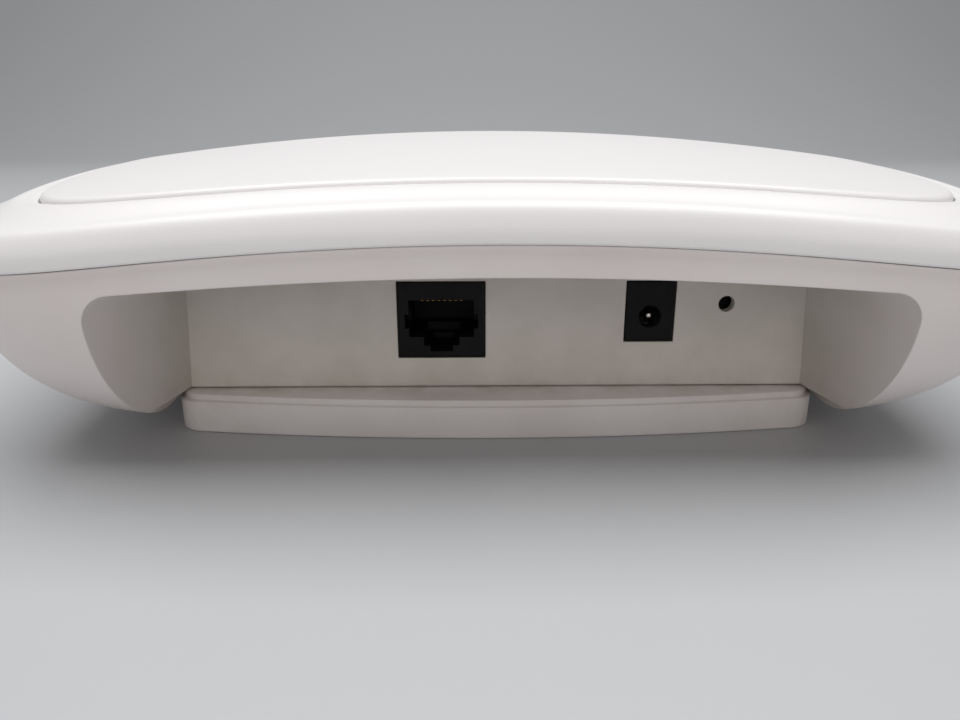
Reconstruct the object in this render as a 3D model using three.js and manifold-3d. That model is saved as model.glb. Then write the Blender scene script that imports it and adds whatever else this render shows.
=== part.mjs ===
// Ceiling access point on its slide-on mounting bracket, in millimetres.
// +Z points away from the ceiling, z = 0 is the bracket's ceiling face, the ports face -Y.
// The shells are rounded squares whose rims arch: a rim is highest at the middle of each side.
import * as THREE from "three";
import { mergeVertices } from "three/addons/utils/BufferGeometryUtils.js";
import Module from "manifold-3d";

const wasm = await Module();
wasm.setup();

// ---- driving dimensions ----
const gap = 0.3; // running gap between neighbouring pieces
const overCut = 1; // how far a cutter runs past the face it opens

const outlinePower = 6.8; // superellipse power of the body's rounded square
const outlineSteps = 8; // points on an eighth of that outline
const archRate = 9.9e-4; // a rim falls by this times the square of the distance from the centre

const body = { half: 90, seam: 38, wall: 2.2 };
const bowl = { floorHalf: 68.9, rimHalf: 89, bottom: 5.35, outPower: 1.68, upPower: 2.28, steps: 7 };
const dome = { top: 51.75, rate: 8.7e-4, half: 79, thickness: 2 };
const ring = { shoulderHalf: 88.3, shoulder: 43.7, ledgeHalf: 58, troughDepth: 0.45 };

const bracket = { halfWidth: 58.7, front: -68.3, rear: 50, height: 7.17, plate: 2.2, skirt: 2.4, bow: 3.9 };
const slideTravel = 8; // unlocks the access point from the bracket
const stud = { x: 24, ys: [-36, 26], headRadius: 4.2, headHeight: 1.8, neckRadius: 2.2, shankRadius: 1.5 };
const studBoss = { radius: 3.5, top: 14, depth: 6 };
const screwPad = { x: 40, ys: [-52, 36], size: [17, 14], slot: 4.4, slotRun: 5, headSlot: 9.4, seat: 3.2 };

const portWall = { y: -60.7, thickness: 2, halfWidth: 55.8, flare: 0.185, draft: 0.06, cornerRadius: 5 };
const recess = { ceiling: 33.45, ceilingRate: 7.86e-4, front: -88, draftMiddle: 17 };
const board = { halfWidth: 59, front: -58.4, rear: 53.6, bottom: 27.3, thickness: 1.6, corner: 3 };
const boardScrew = { x: 52, ys: [-30, 46], postRadius: 3.5, tapRadius: 1.55 };
const caseScrew = {
  x: 64.5, ys: [-44, 44], seat: 24, pillarTop: 34, pillarRadius: 4.7, wellRadius: 3.3, holeRadius: 1.8,
};

const jackTop = board.bottom - gap; // jacks hang from the board's underside
const jackFace = portWall.y - 0.2;
const ethernet = { x: -10.1, width: 15.7, height: 14, depth: 21 };
const power = { x: 27.5, width: 8.8, height: 11.1, depth: 14, bore: 3.8, boreDrop: 6.5 };
const reset = { x: 41.2, z: 22.8, pinhole: 2.9, button: 2, face: -55.6, tip: -57.6, room: 2.3, travel: 0.3 };

// ---- materials ----
const plastic = (color, roughness) => new THREE.MeshStandardMaterial({ color, roughness, metalness: 0 });
const metal = (color, roughness) => new THREE.MeshStandardMaterial({ color, roughness, metalness: 1 });
const look = {
  whiteShell: plastic(0xe9e7e4, 0.45),
  panelWhite: plastic(0xf0efed, 0.4),
  blackJack: plastic(0x141416, 0.5),
  laminate: plastic(0x1f5a36, 0.5),
  chipBlack: plastic(0x1b1b1d, 0.6),
  clear: plastic(0xdfe6ea, 0.15),
  sleeve: plastic(0x2a2c34, 0.45),
  gold: metal(0xd9b25a, 0.3),
  tinned: metal(0xc9c9c6, 0.35),
  aluminium: metal(0xb4b6b8, 0.45),
  zincSteel: metal(0xa9adb2, 0.35),
};

// ---- solids ----
function toSolid(geometry) {
  const plain = geometry.clone();
  plain.deleteAttribute("normal");
  plain.deleteAttribute("uv");
  const welded = mergeVertices(plain, 1e-4);
  return new wasm.Manifold(
    new wasm.Mesh({
      numProp: 3,
      vertProperties: new Float32Array(welded.attributes.position.array),
      triVerts: new Uint32Array(welded.index.array),
    }),
  );
}

function toGeometry(solid) {
  const mesh = solid.getMesh();
  const geometry = new THREE.BufferGeometry();
  geometry.setAttribute("position", new THREE.BufferAttribute(mesh.vertProperties, 3));
  geometry.setIndex(new THREE.BufferAttribute(mesh.triVerts, 1));
  geometry.computeVertexNormals();
  return geometry;
}

const join = (...solids) => solids.reduce((sum, solid) => sum.add(solid));
const cut = (base, ...tools) => tools.reduce((rest, tool) => rest.subtract(tool), base);

function block(low, high) {
  const size = high.map((value, axis) => value - low[axis]);
  const geometry = new THREE.BoxGeometry(...size);
  geometry.translate(...low.map((value, axis) => value + size[axis] / 2));
  return toSolid(geometry);
}

// An upright round rod from z = low to z = high.
function rod(x, y, low, high, radius, sides = 20) {
  const geometry = new THREE.CylinderGeometry(radius, radius, high - low, sides);
  geometry.rotateX(Math.PI / 2);
  geometry.translate(x, y, (low + high) / 2);
  return toSolid(geometry);
}

// A round rod along Y from y = front to y = back.
function rodAlongY(x, z, front, back, radius, sides = 20) {
  const geometry = new THREE.CylinderGeometry(radius, radius, back - front, sides);
  geometry.translate(x, (front + back) / 2, z);
  return toSolid(geometry);
}

// Skins a row of point loops, each anticlockwise from above and listed upwards on the outside.
// A closed row makes a frame with a hole; an open one is capped at both ends.
function skin(loops, closed = false) {
  const count = loops[0].length;
  const points = loops.flat();
  const triangles = [];
  const rows = closed ? loops.length : loops.length - 1;
  for (let row = 0; row < rows; row++) {
    const below = row * count;
    const above = ((row + 1) % loops.length) * count;
    for (let i = 0; i < count; i++) {
      const next = (i + 1) % count;
      triangles.push(below + i, below + next, above + next, below + i, above + next, above + i);
    }
  }
  if (!closed) {
    capWithFan(points, triangles, 0, count, false);
    capWithFan(points, triangles, (loops.length - 1) * count, count, true);
  }
  const geometry = new THREE.BufferGeometry().setFromPoints(points);
  geometry.setIndex(triangles);
  return toSolid(geometry);
}

function capWithFan(points, triangles, start, count, upward) {
  const middle = new THREE.Vector3();
  for (let i = 0; i < count; i++) middle.addScaledVector(points[start + i], 1 / count);
  const centre = points.push(middle) - 1;
  for (let i = 0; i < count; i++) {
    const a = start + i;
    const b = start + ((i + 1) % count);
    triangles.push(centre, upward ? a : b, upward ? b : a);
  }
}

// ---- outlines ----
// An eighth of the unit rounded square, from the middle of a side to its corner.
// Its points are closer together at the corner.
const cornerShare = 2 ** (-1 / outlinePower);
const eighth = Array.from({ length: outlineSteps + 1 }, (_, i) => {
  const along = cornerShare * (1 - (1 - i / outlineSteps) ** 1.6);
  return [(1 - along ** outlinePower) ** (1 / outlinePower), along];
});

function unitOutline() {
  const quarter = [...eighth, ...eighth.slice(1, -1).reverse().map(([x, y]) => [y, x])];
  const points = [];
  for (let turn = 0; turn < 4; turn++) {
    const [c, s] = [[1, 0], [0, 1], [-1, 0], [0, -1]][turn];
    for (const [x, y] of quarter) points.push([c * x - s * y, s * x + c * y]);
  }
  return points;
}
const outline = unitOutline();

// A loop of the rounded square whose height depends on where it is.
function loopAt(half, heightAt) {
  return outline.map(([u, v]) => new THREE.Vector3(half * u, half * v, heightAt(half * u, half * v)));
}

// A loop that arches like the seam, with its height given at the middle of a side.
const rimLoop = (half, height) => loopAt(half, (x, y) => height + archRate * (half ** 2 - x ** 2 - y ** 2));
const domeHeight = (x, y) => dome.top - dome.rate * (x ** 2 + y ** 2);

// ---- shells ----
function frontPanel() {
  const shares = [1, 0.82, 0.62, 0.42, 0.2, 0.03];
  const edgeRound = 0.4;
  const under = shares.toReversed().map((share) => {
    return loopAt(share * dome.half, (x, y) => domeHeight(x, y) - dome.thickness);
  });
  const edge = loopAt(dome.half, (x, y) => domeHeight(x, y) - edgeRound);
  const top = shares.map((share) => loopAt(share * (dome.half - edgeRound), domeHeight));
  return skin([...under, edge, ...top]);
}

function topCover() {
  const inside = body.half - body.wall - 0.6;
  const panelSide = dome.half + gap;
  const ledge = (x, y) => domeHeight(x, y) - dome.thickness - gap;
  const underLedge = (x, y) => ledge(x, y) - body.wall;
  const belowDome = (drop) => (x, y) => domeHeight(x, y) - drop;
  const shoulderUp = ring.shoulder + 0.6;
  const loops = [
    rimLoop(body.half, body.seam + gap / 2),
    rimLoop(body.half - 0.35, body.seam + 2.6),
    rimLoop(ring.shoulderHalf + 0.25, ring.shoulder - 0.9),
    rimLoop(ring.shoulderHalf - 0.6, ring.shoulder),
    rimLoop(ring.shoulderHalf - 2.6, shoulderUp),
    loopAt(dome.half + 3.4, belowDome(0.6 * ring.troughDepth)),
    loopAt(dome.half + 1.2, belowDome(ring.troughDepth)),
    loopAt(panelSide, belowDome(ring.troughDepth + 0.3)),
    loopAt(panelSide, ledge),
    loopAt(ring.ledgeHalf, ledge),
    loopAt(ring.ledgeHalf, underLedge),
    loopAt(dome.half + 0.5, underLedge),
    rimLoop(inside, ring.shoulder - body.wall - 0.6),
    rimLoop(inside, body.seam + gap / 2),
  ];
  let cover = skin(loops, true);
  for (const [x, y] of corners(caseScrew)) {
    const top = ledge(x, y) - body.wall / 2;
    cover = cover.add(rod(x, y, caseScrew.pillarTop + gap, top, 4));
    cover = cut(cover, rod(x, y, caseScrew.pillarTop, top - 1.6, 1.8, 12));
  }
  return cover;
}

// The bowl's loops from its flat bottom to the arched seam, shrunk by inset and starting at floor.
function bowlLoops(inset, floor) {
  return Array.from({ length: bowl.steps + 1 }, (_, step) => {
    const angle = (step / bowl.steps) * (Math.PI / 2);
    const out = Math.sin(angle) ** (2 / bowl.outPower);
    const up = 1 - Math.cos(angle) ** (2 / bowl.upPower);
    const half = bowl.floorHalf + (bowl.rimHalf - bowl.floorHalf) * out - inset;
    return outline.map(([u, v]) => {
      const rim = body.seam - gap / 2 + archRate * body.half ** 2 * (1 - u ** 2 - v ** 2);
      return new THREE.Vector3(half * u, half * v, floor + (rim - floor) * up);
    });
  });
}

// The cable recess, widening towards the front and the ceiling face under an arched roof.
// Growing it makes the wall around it.
function recessSolid(grow) {
  const sectionCount = 4;
  const front = recess.front - 8;
  const back = portWall.y + grow;
  const below = -overCut;
  const loops = [];
  for (let i = 0; i <= sectionCount; i++) {
    const y = back + ((front - back) * i) / sectionCount;
    const half = portWall.halfWidth + portWall.flare * (portWall.y - y) + grow;
    const radius = portWall.cornerRadius + grow;
    const ceiling = (x) => recess.ceiling + grow - recess.ceilingRate * x ** 2;
    const corner = Array.from({ length: 4 }, (_, k) => {
      const angle = (k / 4) * (Math.PI / 2);
      const centre = ceiling(half - radius) - radius;
      return [half - radius + radius * Math.cos(angle), centre + radius * Math.sin(angle)];
    });
    const roofSteps = 5;
    const roof = Array.from({ length: roofSteps + 1 }, (_, k) => {
      const x = (half - radius) * (1 - (2 * k) / roofSteps);
      return [x, ceiling(x)];
    });
    const mirrored = corner.toReversed().map(([x, z]) => [-x, z]);
    const section = [[-half, below], [half, below], ...corner, ...roof, ...mirrored];
    const spread = (z) => 1 + (portWall.draft * (recess.draftMiddle - z)) / half;
    loops.push(section.map(([x, z]) => new THREE.Vector3(x * spread(z), y, z)));
  }
  return skin(loops);
}

function baseShell() {
  const pocketTop = bracket.height + gap;
  const floorTop = pocketTop + body.wall;
  const sideGap = 0.6;
  const pocketHalf = bracket.halfWidth + sideGap;
  const pocketRear = bracket.rear + slideTravel + sideGap;
  const bowlShell = skin([
    ...bowlLoops(0, bowl.bottom),
    ...bowlLoops(body.wall, bowl.bottom + body.wall).toReversed(),
  ]);
  const insideSkin = skin(bowlLoops(body.wall / 2, bowl.bottom + body.wall / 2));
  const raisedFloor = block(
    [-pocketHalf - body.wall, recess.front, 0],
    [pocketHalf + body.wall, pocketRear + body.wall, floorTop],
  );
  const fillings = recessSolid(portWall.thickness).add(raisedFloor).intersect(insideSkin);
  const pocket = block([-pocketHalf, recess.front, -overCut], [pocketHalf, pocketRear, pocketTop]);
  let shell = cut(bowlShell.add(fillings), recessSolid(0), pocket);

  for (const [x, y] of corners(caseScrew)) {
    const screwHole = rod(x, y, 0, caseScrew.pillarTop + overCut, caseScrew.holeRadius, 12);
    shell = shell.add(rod(x, y, bowl.bottom + 1, caseScrew.pillarTop, caseScrew.pillarRadius));
    shell = cut(shell, rod(x, y, 0, caseScrew.seat, caseScrew.wellRadius), screwHole);
  }
  for (const [x, y] of corners(boardScrew)) {
    const tapDepth = 9;
    shell = shell.add(rod(x, y, pocketTop + 1, board.bottom - gap, boardScrew.postRadius, 16));
    shell = cut(shell, rod(x, y, board.bottom - tapDepth, board.bottom + overCut, boardScrew.tapRadius, 12));
  }
  for (const [x, y] of corners(stud)) {
    shell = shell.add(rod(x, y, pocketTop + 1, studBoss.top, studBoss.radius, 16));
    shell = cut(shell, rod(x, y, pocketTop - 1, pocketTop + studBoss.depth, stud.shankRadius + gap, 12));
  }
  return cut(shell, ...portCuts());
}

// A shouldered stud with a flat head below, screwed into the base's underside, its neck in the keyhole.
function mountingStud() {
  const headTop = bracket.height - bracket.plate - gap;
  const headLow = headTop - stud.headHeight;
  const neckTop = bracket.height;
  const shankTop = bracket.height + studBoss.depth - gap;
  const edge = 0.4;
  const profile = [
    [0, headLow],
    [stud.headRadius - edge, headLow],
    [stud.headRadius, headLow + edge],
    [stud.headRadius, headTop],
    [stud.neckRadius, headTop],
    [stud.neckRadius, neckTop],
    [stud.shankRadius, neckTop],
    [stud.shankRadius, shankTop - edge],
    [stud.shankRadius - edge, shankTop],
    [0, shankTop],
  ];
  const geometry = new THREE.LatheGeometry(profile.map(([r, y]) => new THREE.Vector2(r, y)), 24);
  geometry.rotateX(Math.PI / 2);
  const slot = block([-2.6, -0.5, headLow - overCut], [2.6, 0.5, headLow + 0.9]);
  return cut(toSolid(geometry), slot);
}

function portCuts() {
  const [front, back] = [portWall.y - 2, portWall.y + portWall.thickness + 2];
  const around = (port) =>
    block(
      [port.x - port.width / 2 - gap, front, jackTop - port.height - gap],
      [port.x + port.width / 2 + gap, back, jackTop + gap],
    );
  return [around(ethernet), around(power), rodAlongY(reset.x, reset.z, front, back, reset.pinhole / 2)];
}

function corners(spot) {
  return spot.ys.flatMap((y) => [[-spot.x, y], [spot.x, y]]);
}

// ---- mounting bracket ----
// The bracket's outline, shrunk by inset: straight sides, rounded corners and a slightly bowed front.
function bracketLoop(inset, z) {
  const half = bracket.halfWidth - inset;
  const [frontRadius, rearRadius] = [5, 8];
  const frontCorner = bracket.front + bracket.bow + inset;
  const rear = bracket.rear - inset;
  const arc = (cx, cy, radius, from) =>
    Array.from({ length: 5 }, (_, i) => {
      const angle = from + (i / 4) * (Math.PI / 2);
      return [cx + radius * Math.cos(angle), cy + radius * Math.sin(angle)];
    });
  const frontHalf = half - frontRadius;
  const bowed = Array.from({ length: 7 }, (_, i) => {
    const x = -frontHalf + ((i + 1) / 8) * 2 * frontHalf;
    return [x, frontCorner - bracket.bow * (1 - (x / frontHalf) ** 2)];
  });
  return [
    ...arc(-frontHalf, frontCorner + frontRadius, frontRadius, Math.PI),
    ...bowed,
    ...arc(frontHalf, frontCorner + frontRadius, frontRadius, -Math.PI / 2),
    ...arc(half - rearRadius, rear - rearRadius, rearRadius, 0),
    ...arc(rearRadius - half, rear - rearRadius, rearRadius, Math.PI / 2),
  ].map(([x, y]) => new THREE.Vector3(x, y, z));
}

function mountingBracket() {
  const step = { height: 6, inset: 0.6 }; // small ledge round the top edge
  const plateBottom = bracket.height - bracket.plate;
  const outer = skin([
    bracketLoop(0.5, 0),
    bracketLoop(0, 0.5),
    bracketLoop(0, step.height),
    bracketLoop(step.inset, step.height + 0.15),
    bracketLoop(step.inset, bracket.height - 0.2),
    bracketLoop(step.inset + 0.2, bracket.height),
  ]);
  const hollow = skin([bracketLoop(bracket.skirt, -overCut), bracketLoop(bracket.skirt, plateBottom)]);
  let plate = cut(outer, hollow);
  plate = join(plate, ...bracketRibs(plateBottom), ...corners(screwPad).map(([x, y]) => padBlock(x, y)));
  return cut(plate, ...corners(screwPad).flatMap(screwSlot), ...corners(stud).map(keyhole));
}

function bracketRibs(top) {
  const rib = 1.8;
  const middle = (bracket.front + bracket.rear) / 2;
  const inside = 1;
  const [left, right] = [-bracket.halfWidth + inside, bracket.halfWidth - inside];
  return [
    block([left, middle - rib / 2, 0], [right, middle + rib / 2, top + 0.5]),
    block([-rib / 2, bracket.front + inside, 0], [rib / 2, bracket.rear - inside, top + 0.5]),
  ];
}

function padBlock(x, y) {
  const [width, length] = screwPad.size;
  const top = bracket.height - 1;
  return block([x - width / 2, y - length / 2, 0], [x + width / 2, y + length / 2, top]);
}

// A slot along X for a ceiling screw, with a deeper and wider one above it for the screw's head.
function screwSlot([x, y]) {
  const slotAt = (width, low, high) => {
    const reach = screwPad.slotRun / 2;
    return join(
      block([x - reach, y - width / 2, low], [x + reach, y + width / 2, high]),
      rod(x - reach, y, low, high, width / 2, 16),
      rod(x + reach, y, low, high, width / 2, 16),
    );
  };
  return [
    slotAt(screwPad.slot, -overCut, bracket.height + overCut),
    slotAt(screwPad.headSlot - 2, screwPad.seat, bracket.height + overCut),
  ];
}

// The wide end takes the stud's head, and the narrow end holds it once the body has slid back.
function keyhole([x, y]) {
  const clearance = 0.4;
  const low = bracket.height - bracket.plate - 0.6;
  const high = bracket.height + overCut;
  const slotHalf = stud.neckRadius + clearance;
  const entry = y - slideTravel;
  return join(
    rod(x, entry, low, high, stud.headRadius + clearance, 28),
    block([x - slotHalf, entry, low], [x + slotHalf, y, high]),
    rod(x, y, low, high, slotHalf, 20),
  );
}

// ---- circuit board and its parts ----
function circuitBoard() {
  const { halfWidth, front, rear, corner } = board;
  const shape = new THREE.Shape();
  shape.moveTo(-halfWidth + corner, front);
  shape.absarc(halfWidth - corner, front + corner, corner, -Math.PI / 2, 0);
  shape.absarc(halfWidth - corner, rear - corner, corner, 0, Math.PI / 2);
  shape.absarc(corner - halfWidth, rear - corner, corner, Math.PI / 2, Math.PI);
  shape.absarc(corner - halfWidth, front + corner, corner, Math.PI, 1.5 * Math.PI);
  for (const [x, y] of corners(boardScrew)) {
    const hole = new THREE.Path();
    hole.absarc(x, y, 1.7, 0, 2 * Math.PI, true);
    shape.holes.push(hole);
  }
  const settings = { depth: board.thickness, bevelEnabled: false, curveSegments: 4 };
  const geometry = new THREE.ExtrudeGeometry(shape, settings);
  geometry.translate(0, 0, board.bottom);
  return toSolid(geometry);
}

// The plug's way in: a wide main space, keyed shoulders, and a two-step slot for the latch below it.
function ethernetJack() {
  const { x, width, height, depth } = ethernet;
  const [front, back] = [jackFace, jackFace + depth];
  const mouth = jackFace - overCut;
  const plugEnd = jackFace + 14;
  const top = jackTop - 3.3;
  const bottom = top - 6.8;
  const shell = block([x - width / 2, front, jackTop - height], [x + width / 2, back, jackTop]);
  const space = (halfWidth, low, high, end) => block([x - halfWidth, mouth, low], [x + halfWidth, end, high]);
  const cuts = [
    space(5.85, bottom, top, plugEnd),
    space(6.6, bottom + 1.6, bottom + 4.2, front + 6),
    space(3.2, bottom - 1.6, bottom + 0.5, plugEnd - 3),
    space(2.05, bottom - 2.7, bottom + 0.5, plugEnd - 5),
  ];
  return cut(shell, ...cuts);
}

// One spring wire: down from the housing's roof, then sloping back over the plug's contacts.
function ethernetContact(index) {
  const pitch = 1.02;
  const x = ethernet.x + (index - 3.5) * pitch;
  const [start, bend, end] = [
    [jackFace + 2.8, jackTop - 3.75],
    [jackFace + 4.2, jackTop - 3.85],
    [jackFace + 10.6, jackTop - 5.4],
  ];
  const thickness = 0.3;
  const shape = new THREE.Shape();
  shape.moveTo(...start);
  for (const [y, z] of [bend, end]) shape.lineTo(y, z);
  for (const [y, z] of [end, bend, start]) shape.lineTo(y, z - thickness);
  shape.closePath();
  const wire = 0.5;
  const geometry = new THREE.ExtrudeGeometry(shape, { depth: wire, bevelEnabled: false });
  geometry.rotateX(Math.PI / 2);
  geometry.rotateZ(Math.PI / 2);
  geometry.translate(x - wire / 2, 0, 0);
  return toSolid(geometry);
}

function powerJack() {
  const { x, width, height, depth, bore, boreDrop } = power;
  const [front, back] = [jackFace, jackFace + depth];
  const boreZ = jackTop - boreDrop;
  const shell = block([x - width / 2, front, jackTop - height], [x + width / 2, back, jackTop]);
  const lead = rodAlongY(x, boreZ, front - overCut, front + 0.3, bore / 2 + 0.1);
  const hole = rodAlongY(x, boreZ, front - overCut, front + 10.5, bore / 2);
  const springSlot = block([x - 1.3, front + 2.5, boreZ - bore / 2 - 1.3], [x + 1.3, front + 10.5, boreZ]);
  return cut(shell, lead, hole, springSlot);
}

// The centre pin stands in the bore with a rounded tip, on a flange at the bore's end.
function powerPin() {
  const profile = [[0, 0], [0.35, 0], [0.6, 0.35], [0.6, 8.6], [1.6, 8.6], [1.6, 9.4], [0, 9.4]];
  const geometry = new THREE.LatheGeometry(profile.map(([r, y]) => new THREE.Vector2(r, y)), 14);
  geometry.translate(power.x, jackFace + 0.8, jackTop - power.boreDrop);
  return toSolid(geometry);
}

// A leaf that bears on the plug's sleeve from below.
function powerSpring() {
  const boreZ = jackTop - power.boreDrop;
  const [leafWidth, leaf] = [1.8, 0.25];
  const low = boreZ - power.bore / 2 - 0.95;
  const shape = new THREE.Shape();
  const centreLine = [[jackFace + 9.9, low], [jackFace + 5.2, low + 1.1], [jackFace + 3.4, low + 0.5]];
  shape.moveTo(...centreLine[0]);
  for (const point of centreLine.slice(1)) shape.lineTo(...point);
  for (const [y, z] of centreLine.toReversed()) shape.lineTo(y, z + leaf);
  shape.closePath();
  const geometry = new THREE.ExtrudeGeometry(shape, { depth: leafWidth, bevelEnabled: false });
  geometry.rotateX(Math.PI / 2);
  geometry.rotateZ(Math.PI / 2);
  geometry.translate(power.x - leafWidth / 2, 0, 0);
  return toSolid(geometry);
}

function resetSwitch() {
  const [halfWidth, depth, bottom] = [3.3, 3.6, reset.z - 2.8];
  const shell = block(
    [reset.x - halfWidth, reset.face, bottom],
    [reset.x + halfWidth, reset.face + depth, jackTop],
  );
  const radius = reset.button / 2 + gap;
  return cut(shell, rodAlongY(reset.x, reset.z, reset.face - overCut, reset.face + reset.room, radius, 16));
}

function resetButton() {
  const end = reset.face + reset.room - gap - reset.travel;
  const stem = rodAlongY(reset.x, reset.z, reset.tip, end, reset.button / 2, 16);
  return cut(stem, rodAlongY(reset.x, reset.z, reset.tip - overCut, reset.tip + 0.15, 0.5, 10));
}

// A chip package with flat leads along its long sides; side is +1 above the board and -1 below it.
function chip(x, y, width, length, height, leads, side) {
  const face = side > 0 ? board.bottom + board.thickness + gap : jackTop;
  const span = (from, to) => (side > 0 ? [face + from, face + to] : [face - to, face - from]);
  const [low, high] = span(0.1, height);
  let solid = block([x - width / 2, y - length / 2, low], [x + width / 2, y + length / 2, high]);
  const [leadWidth, leadReach] = [0.5, 1];
  const [leadLow, leadHigh] = span(0, 0.35);
  for (let i = 0; i < leads; i++) {
    const at = y + (i - (leads - 1) / 2) * (length / leads);
    solid = solid.add(
      block(
        [x - width / 2 - leadReach, at - leadWidth / 2, leadLow],
        [x + width / 2 + leadReach, at + leadWidth / 2, leadHigh],
      ),
    );
  }
  return solid;
}

// A can capacitor standing on the board's underside, with its crimped groove near the board.
function capacitor() {
  const profile = [
    [0, 0], [3.9, 0], [4, 0.3], [4, 1.2], [3.5, 1.6], [4, 2],
    [4, 10.2], [3.7, 10.6], [3.2, 10.6], [3.2, 10.4], [0, 10.4],
  ];
  const geometry = new THREE.LatheGeometry(profile.map(([r, y]) => new THREE.Vector2(r, y)), 20);
  geometry.rotateX(-Math.PI / 2);
  return toSolid(geometry);
}

// A shielded coil: square ferrite body, round winding window in its outer face.
function inductor() {
  const [half, height] = [5.5, 5];
  const shell = block([-half, -half, -height], [half, half, 0]);
  const well = cut(rod(0, 0, -height - overCut, -height + 0.8, 4.4), rod(0, 0, -height - 2, 0, 3.2));
  return cut(shell, well);
}

// A drawn steel lid over a radio, open towards the board, with vent holes in its roof.
function radioShield() {
  const [width, length, height, sheet] = [30, 24, 4.2, 0.6];
  const outer = block([-width / 2, -length / 2, 0], [width / 2, length / 2, height]);
  const inner = block(
    [sheet - width / 2, sheet - length / 2, -overCut],
    [width / 2 - sheet, length / 2 - sheet, height - sheet],
  );
  const holes = [];
  for (const x of [-9, -3, 3, 9]) {
    for (const y of [-6, 0, 6]) holes.push(rod(x, y, 0, height + overCut, 1, 8));
  }
  return cut(outer, inner, ...holes);
}

function heatsink() {
  const [width, length, plate, height, fins, fin] = [26, 26, 1.6, 7, 7, 1.1];
  let solid = block([-width / 2, -length / 2, 0], [width / 2, length / 2, plate]);
  for (let i = 0; i < fins; i++) {
    const x = -width / 2 + (i * (width - fin)) / (fins - 1);
    solid = solid.add(block([x, -length / 2, plate - 0.2], [x + fin, length / 2, height]));
  }
  return solid;
}

// A stamped inverted-F antenna: a long arm carried by a feed leg and a ground leg.
function antenna() {
  const [arm, height, strip, sheet, legGap] = [25, 8, 2, 0.5, 5];
  return join(
    block([0, 0, height - strip], [arm, sheet, height]),
    block([0, 0, 0], [strip, sheet, height]),
    block([legGap, 0, 0], [legGap + strip, sheet, height]),
    block([-1, -3, 0], [legGap + strip + 1, sheet, sheet]),
  );
}

function statusLed() {
  const bottom = board.bottom + board.thickness + gap;
  return join(
    block([-1.5, -50.5, bottom], [1.5, -48, bottom + 0.8]),
    rod(0, -49.25, bottom, bottom + 1.5, 1, 14),
  );
}

// A clear rod that carries the light up to the front panel, with a foot flange and a lens end.
function lightPipe() {
  const bottom = board.bottom + board.thickness + 2.2;
  const top = domeHeight(0, -49.25) - dome.thickness - gap - 0.2;
  const profile = [[0, 0], [2, 0], [2, top - bottom - 1], [1.4, top - bottom - 0.2], [0, top - bottom]];
  const geometry = new THREE.LatheGeometry(profile.map(([r, y]) => new THREE.Vector2(r, y)), 18);
  geometry.rotateX(Math.PI / 2);
  geometry.translate(0, -49.25, bottom);
  return toSolid(geometry);
}

// A cross-recessed screw pointing along +Z, its head's underside at z = 0.
function screw(headRadius, headHeight, shankRadius, length) {
  const profile = [
    [0, -headHeight], [headRadius * 0.75, -headHeight], [headRadius, -headHeight * 0.55], [headRadius, 0],
    [shankRadius, 0], [shankRadius, length - shankRadius], [0, length],
  ];
  const geometry = new THREE.LatheGeometry(profile.map(([r, y]) => new THREE.Vector2(r, y)), 16);
  geometry.rotateX(Math.PI / 2);
  const [slotHalf, reach, deep] = [0.35, headRadius * 0.6, headHeight * 0.6];
  const slots = [
    block([-reach, -slotHalf, -headHeight - overCut], [reach, slotHalf, -headHeight + deep]),
    block([-slotHalf, -reach, -headHeight - overCut], [slotHalf, reach, -headHeight + deep]),
  ];
  return cut(toSolid(geometry), ...slots);
}

// ---- assembly ----
function part(name, solid, material, place = [0, 0, 0], turn = [0, 0, 0]) {
  const mesh = new THREE.Mesh(toGeometry(solid), material);
  mesh.name = name;
  mesh.position.set(...place);
  mesh.rotation.set(...turn);
  return mesh;
}

const ceilingAccessPoint = new THREE.Group();
ceilingAccessPoint.add(part("mounting_bracket", mountingBracket(), look.whiteShell));

const accessPoint = new THREE.Group();
ceilingAccessPoint.add(accessPoint);
accessPoint.add(
  part("base_shell", baseShell(), look.whiteShell),
  part("top_cover", topCover(), look.whiteShell),
  part("front_panel", frontPanel(), look.panelWhite),
);

const electronics = new THREE.Group();
accessPoint.add(electronics);
const boardTop = board.bottom + board.thickness + gap;
electronics.add(
  part("circuit_board", circuitBoard(), look.laminate),
  part("ethernet_jack_housing", ethernetJack(), look.blackJack),
  part("power_jack_housing", powerJack(), look.blackJack),
  part("power_jack_pin", powerPin(), look.tinned),
  part("power_jack_spring", powerSpring(), look.tinned),
  part("reset_switch_housing", resetSwitch(), look.chipBlack),
  part("reset_button", resetButton(), look.blackJack),
  part("ethernet_transformer", chip(-12, -28, 14, 17, 6, 8, -1), look.chipBlack),
  part("power_inductor", inductor(), look.sleeve, [27, -32, jackTop]),
  part("processor_chip", chip(0, 0, 17, 17, 1.6, 0, 1), look.chipBlack),
  part("memory_chip", chip(26, 2, 11, 20, 1.2, 10, 1), look.chipBlack),
  part("flash_chip", chip(26, -22, 5.4, 5.6, 1.8, 4, 1), look.chipBlack),
  part("heatsink", heatsink(), look.aluminium, [0, 0, boardTop + 1.6 + gap]),
  part("radio_shield_left", radioShield(), look.tinned, [-34, 24, boardTop]),
  part("radio_shield_right", radioShield(), look.tinned, [24, 30, boardTop]),
  part("status_led", statusLed(), look.clear),
  part("light_pipe", lightPipe(), look.clear),
);
for (let i = 0; i < 8; i++) {
  electronics.add(part(`ethernet_contact_${i + 1}`, ethernetContact(i), look.gold));
}
[[12, -36], [12, -25]].forEach(([x, y], i) => {
  electronics.add(part(`electrolytic_capacitor_${i + 1}`, capacitor(), look.sleeve, [x, y, jackTop]));
});
const antennaPlaces = [
  [-56, -52, 0],
  [56, -48, Math.PI],
  [-42, 50, 0],
  [42, 50, Math.PI],
];
antennaPlaces.forEach(([x, y, turn], i) => {
  electronics.add(part(`antenna_${i + 1}`, antenna(), look.tinned, [x, y, boardTop], [0, 0, turn]));
});

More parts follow.
